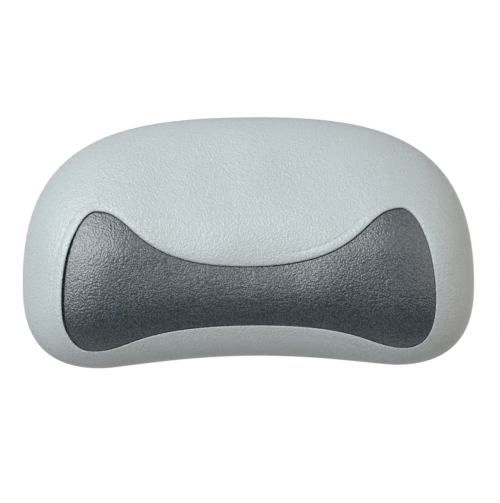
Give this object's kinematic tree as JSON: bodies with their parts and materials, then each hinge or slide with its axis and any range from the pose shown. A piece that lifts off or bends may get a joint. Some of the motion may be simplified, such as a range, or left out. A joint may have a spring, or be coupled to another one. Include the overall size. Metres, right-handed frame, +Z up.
{
  "type": "bath pillow",
  "caption": "Moulded foam bath headrest with a waisted dark inlay pad; its back plate hangs by keyholes on suction cups that hold it on a wall or tub.",
  "frame": {"origin": "on the wall plane that the suction cup rims lie on, at the middle of the four cups", "axes": "+X to the right of someone who faces the pillow, +Y into the wall, +Z up"},
  "size_m": [0.31, 0.0675, 0.171],
  "materials": {
    "foam_skin": "fine-grained, semi-matt skin of moulded polyurethane foam",
    "inlay_skin": "pebble-grained, semi-gloss polyurethane",
    "core_board": "sawn board",
    "back_plate": "fine texture",
    "clear_pvc": "clear soft PVC",
    "stainless_steel": "bright",
    "zinc_plated_steel": "plated"
  },
  "bodies": {
    "wall_cups": {"suction_cup_upper_left": "clear_pvc", "suction_cup_upper_right": "clear_pvc", "suction_cup_lower_left": "clear_pvc", "suction_cup_lower_right": "clear_pvc"},
    "pillow": {"cushion_body": "foam_skin", "inlay_pad": "inlay_skin", "core_board": "core_board", "back_plate": "back_plate", "insert_nut_upper_left": "zinc_plated_steel", "insert_nut_upper_right": "zinc_plated_steel", "insert_nut_lower_left": "zinc_plated_steel", "insert_nut_lower_right": "zinc_plated_steel", "insert_nut_end_left": "zinc_plated_steel", "insert_nut_end_right": "zinc_plated_steel", "washer_upper_left": "stainless_steel", "washer_upper_right": "stainless_steel", "washer_lower_left": "stainless_steel", "washer_lower_right": "stainless_steel", "washer_end_left": "stainless_steel", "washer_end_right": "stainless_steel", "screw_upper_left": "stainless_steel", "screw_upper_right": "stainless_steel", "screw_lower_left": "stainless_steel", "screw_lower_right": "stainless_steel", "screw_end_left": "stainless_steel", "screw_end_right": "stainless_steel"}
  },
  "joints": [
    {"name": "pillow_lift", "type": "slide", "parent": "wall_cups", "child": "pillow", "axis": [0, 0, 1], "range_m": [0, 0.013]}
  ]
}
